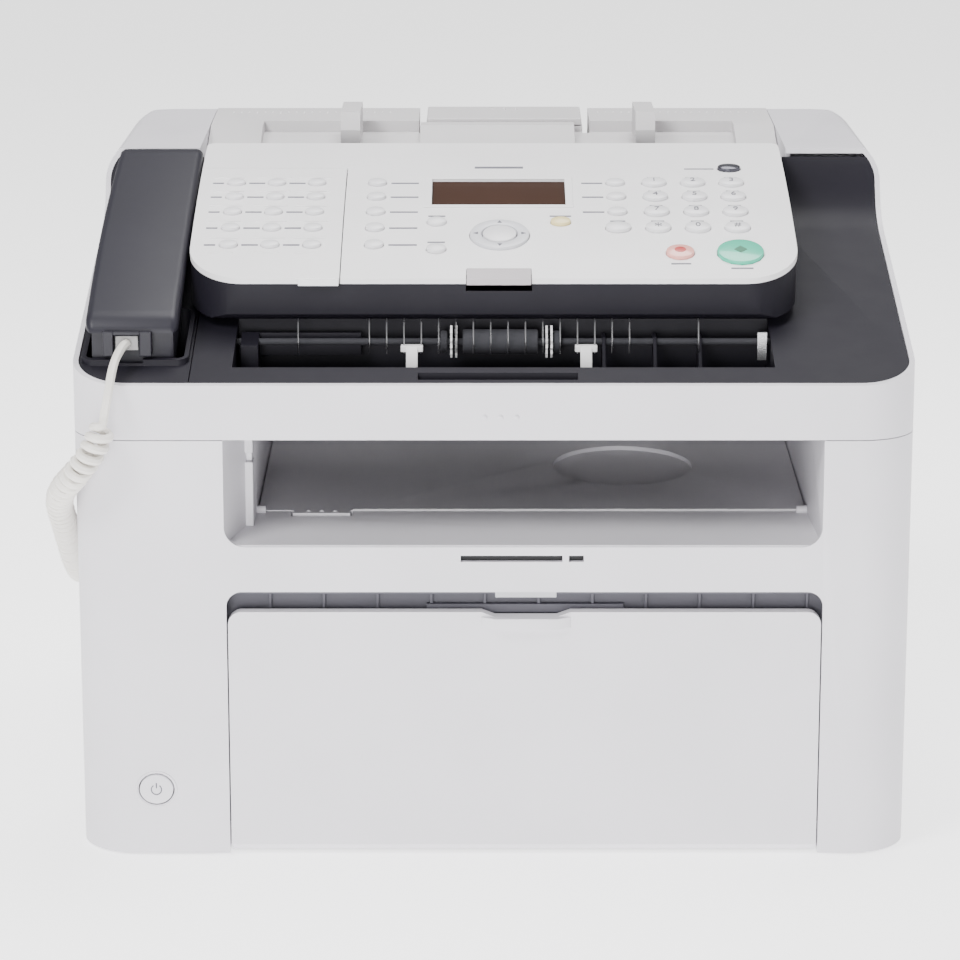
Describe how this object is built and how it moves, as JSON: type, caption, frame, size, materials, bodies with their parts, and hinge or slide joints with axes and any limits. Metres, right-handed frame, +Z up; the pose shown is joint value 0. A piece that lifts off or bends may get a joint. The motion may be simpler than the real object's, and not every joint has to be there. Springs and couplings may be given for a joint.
{
  "type": "fax machine",
  "caption": "Desktop laser fax with a corded handset, tilting keypad panel, document feeder with paper guides, front paper door and paper output recess.",
  "frame": {"origin": "on the table under the middle of the machine", "axes": "+X to the right seen from the front, +Y to the back, +Z up"},
  "size_m": [0.3883, 0.3231, 0.3085],
  "materials": {
    "white": "satin",
    "panel": "satin",
    "dark": "satin",
    "grey": "matte",
    "key": "satin",
    "rubber": "matte",
    "cord": "satin",
    "black": "matte",
    "clear": "gloss",
    "lcd": "gloss",
    "start": "satin",
    "stop": "satin",
    "status": "satin",
    "board": "satin",
    "metal": "satin"
  },
  "bodies": {
    "base": {"chassis": "grey", "front_cover": "white", "left_cover": "white", "right_cover": "white", "rear_cover": "white", "laser_unit": "black", "toner_cartridge": "black", "fixing_unit": "metal", "main_board": "board"},
    "feed_door": {"feed_door": "white"},
    "power_button": {"power_button": "white"},
    "toner_cover": {"toner_cover": "white"},
    "pickup_roller": {"pickup_roller": "rubber"},
    "upper_unit": {"top_cover": "white", "top_deck": "dark", "handset_cradle": "dark", "document_tray": "white", "image_sensor": "black", "jack_plug": "clear", "cord_lead": "cord", "cord_coil": "cord", "cord_tail": "cord"},
    "hook_switch": {"hook_switch": "black"},
    "guide_left": {"guide_left": "white"},
    "guide_right": {"guide_right": "white"},
    "tray_extension": {"tray_extension": "white"},
    "exit_roller": {"exit_roller": "rubber"},
    "document_stop": {"document_stop": "dark"},
    "handset": {"handset_back": "dark", "handset_face": "dark", "handset_plug": "clear"},
    "control_panel": {"panel_plate": "panel", "one_touch_plate": "panel", "panel_case": "dark", "lcd_window": "lcd", "lamp_window": "clear"},
    "key_1": {"key_1": "key"},
    "key_2": {"key_2": "key"},
    "key_3": {"key_3": "key"},
    "key_4": {"key_4": "key"},
    "key_5": {"key_5": "key"},
    "key_6": {"key_6": "key"},
    "key_7": {"key_7": "key"},
    "key_8": {"key_8": "key"},
    "key_9": {"key_9": "key"},
    "key_star": {"key_star": "key"},
    "key_0": {"key_0": "key"},
    "key_hash": {"key_hash": "key"},
    "key_clear": {"key_clear": "key"},
    "key_start": {"key_start": "start"},
    "key_stop": {"key_stop": "stop"},
    "key_back": {"key_back": "key"},
    "key_menu": {"key_menu": "key"},
    "key_status": {"key_status": "status"},
    "key_energy_saver": {"key_energy_saver": "grey"},
    "key_arrows": {"key_arrows": "key"},
    "key_ok": {"key_ok": "key"},
    "one_touch_keys": {"one_touch_keys": "key"},
    "function_keys": {"function_keys": "key"},
    "dial_keys": {"dial_keys": "key"}
  },
  "joints": [
    {"name": "upper_unit_hinge", "type": "hinge", "parent": "base", "child": "upper_unit", "pos_m": [0, 0.15, 0.193], "axis": [-1, 0, 0], "range_deg": [0, 40]},
    {"name": "feed_door_hinge", "type": "hinge", "parent": "base", "child": "feed_door", "pos_m": [0, -0.1435, 0.0082], "axis": [1, 0, 0], "range_deg": [0, 86]},
    {"name": "toner_cover_hinge", "type": "hinge", "parent": "base", "child": "toner_cover", "pos_m": [0.017, 0.046, 0.155], "axis": [-1, 0, 0], "range_deg": [0, 13]},
    {"name": "pickup_spin", "type": "hinge", "parent": "base", "child": "pickup_roller", "pos_m": [0, -0.038, 0.062], "axis": [1, 0, 0], "continuous": true},
    {"name": "power_press", "type": "slide", "parent": "base", "child": "power_button", "axis": [0, 1, 0], "range_m": [0, 0.002], "stiffness_N_per_m": 400},
    {"name": "panel_hinge", "type": "hinge", "parent": "upper_unit", "child": "control_panel", "pos_m": [0, 0.0406, 0.284], "axis": [-1, 0, 0], "range_deg": [0, 35]},
    {"name": "handset_lift", "type": "slide", "parent": "upper_unit", "child": "handset", "axis": [0, 0, 1], "range_m": [0, 0.07]},
    {"name": "hook_press", "type": "slide", "parent": "upper_unit", "child": "hook_switch", "axis": [0, 0, -1], "range_m": [0, 0.002], "stiffness_N_per_m": 200},
    {"name": "document_stop_lift", "type": "slide", "parent": "upper_unit", "child": "document_stop", "axis": [0, 0, 1], "range_m": [0, 0.02]},
    {"name": "tray_extension_hinge", "type": "hinge", "parent": "upper_unit", "child": "tray_extension", "pos_m": [0.006, 0.15, 0.2998], "axis": [-1, 0, 0], "range_deg": [0, 150]},
    {"name": "exit_roller_spin", "type": "hinge", "parent": "upper_unit", "child": "exit_roller", "pos_m": [0.004, -0.097, 0.2265], "axis": [1, 0, 0], "continuous": true},
    {"name": "guide_left_slide", "type": "slide", "parent": "upper_unit", "child": "guide_left", "axis": [-1, 0, 0], "range_m": [-0.025, 0.034]},
    {"name": "guide_right_slide", "type": "slide", "parent": "upper_unit", "child": "guide_right", "axis": [-1, 0, 0], "range_m": [-0.034, 0.025]},
    {"name": "key_1_press", "type": "slide", "parent": "control_panel", "child": "key_1", "axis": [0, 0.2498, -0.9683], "range_m": [0, 0.001], "stiffness_N_per_m": 400},
    {"name": "key_2_press", "type": "slide", "parent": "control_panel", "child": "key_2", "axis": [0, 0.2498, -0.9683], "range_m": [0, 0.001], "stiffness_N_per_m": 400},
    {"name": "key_3_press", "type": "slide", "parent": "control_panel", "child": "key_3", "axis": [0, 0.2498, -0.9683], "range_m": [0, 0.001], "stiffness_N_per_m": 400},
    {"name": "key_4_press", "type": "slide", "parent": "control_panel", "child": "key_4", "axis": [0, 0.2719, -0.9623], "range_m": [0, 0.001], "stiffness_N_per_m": 400},
    {"name": "key_5_press", "type": "slide", "parent": "control_panel", "child": "key_5", "axis": [0, 0.2719, -0.9623], "range_m": [0, 0.001], "stiffness_N_per_m": 400},
    {"name": "key_6_press", "type": "slide", "parent": "control_panel", "child": "key_6", "axis": [0, 0.2719, -0.9623], "range_m": [0, 0.001], "stiffness_N_per_m": 400},
    {"name": "key_7_press", "type": "slide", "parent": "control_panel", "child": "key_7", "axis": [0, 0.2937, -0.9559], "range_m": [0, 0.001], "stiffness_N_per_m": 400},
    {"name": "key_8_press", "type": "slide", "parent": "control_panel", "child": "key_8", "axis": [0, 0.2937, -0.9559], "range_m": [0, 0.001], "stiffness_N_per_m": 400},
    {"name": "key_9_press", "type": "slide", "parent": "control_panel", "child": "key_9", "axis": [0, 0.2937, -0.9559], "range_m": [0, 0.001], "stiffness_N_per_m": 400},
    {"name": "key_star_press", "type": "slide", "parent": "control_panel", "child": "key_star", "axis": [0, 0.3149, -0.9491], "range_m": [0, 0.001], "stiffness_N_per_m": 400},
    {"name": "key_0_press", "type": "slide", "parent": "control_panel", "child": "key_0", "axis": [0, 0.3149, -0.9491], "range_m": [0, 0.001], "stiffness_N_per_m": 400},
    {"name": "key_hash_press", "type": "slide", "parent": "control_panel", "child": "key_hash", "axis": [0, 0.3149, -0.9491], "range_m": [0, 0.001], "stiffness_N_per_m": 400},
    {"name": "key_clear_press", "type": "slide", "parent": "control_panel", "child": "key_clear", "axis": [0, 0.3149, -0.9491], "range_m": [0, 0.001], "stiffness_N_per_m": 400},
    {"name": "key_start_press", "type": "slide", "parent": "control_panel", "child": "key_start", "axis": [0, 0.3447, -0.9387], "range_m": [0, 0.001], "stiffness_N_per_m": 400},
    {"name": "key_stop_press", "type": "slide", "parent": "control_panel", "child": "key_stop", "axis": [0, 0.3447, -0.9387], "range_m": [0, 0.001], "stiffness_N_per_m": 400},
    {"name": "key_back_press", "type": "slide", "parent": "control_panel", "child": "key_back", "axis": [0, 0.3407, -0.9402], "range_m": [0, 0.001], "stiffness_N_per_m": 400},
    {"name": "key_menu_press", "type": "slide", "parent": "control_panel", "child": "key_menu", "axis": [0, 0.3075, -0.9515], "range_m": [0, 0.001], "stiffness_N_per_m": 400},
    {"name": "key_status_press", "type": "slide", "parent": "control_panel", "child": "key_status", "axis": [0, 0.3075, -0.9515], "range_m": [0, 0.001], "stiffness_N_per_m": 400},
    {"name": "key_energy_saver_press", "type": "slide", "parent": "control_panel", "child": "key_energy_saver", "axis": [0, 0.2245, -0.9745], "range_m": [0, 0.001], "stiffness_N_per_m": 400},
    {"name": "key_arrows_press", "type": "slide", "parent": "control_panel", "child": "key_arrows", "axis": [0, 0.3239, -0.9461], "range_m": [0, 0.001], "stiffness_N_per_m": 400},
    {"name": "key_ok_press", "type": "slide", "parent": "control_panel", "child": "key_ok", "axis": [0, 0.3239, -0.9461], "range_m": [0, 0.001], "stiffness_N_per_m": 400},
    {"name": "one_touch_keys_press", "type": "slide", "parent": "control_panel", "child": "one_touch_keys", "axis": [0, 0.2937, -0.9559], "range_m": [0, 0.001], "stiffness_N_per_m": 400},
    {"name": "function_keys_press", "type": "slide", "parent": "control_panel", "child": "function_keys", "axis": [0, 0.2937, -0.9559], "range_m": [0, 0.001], "stiffness_N_per_m": 400},
    {"name": "dial_keys_press", "type": "slide", "parent": "control_panel", "child": "dial_keys", "axis": [0, 0.2719, -0.9623], "range_m": [0, 0.001], "stiffness_N_per_m": 400}
  ],
  "couplings": [
    {"joint": "guide_right_slide", "follows": "guide_left_slide", "ratio": -1}
  ]
}
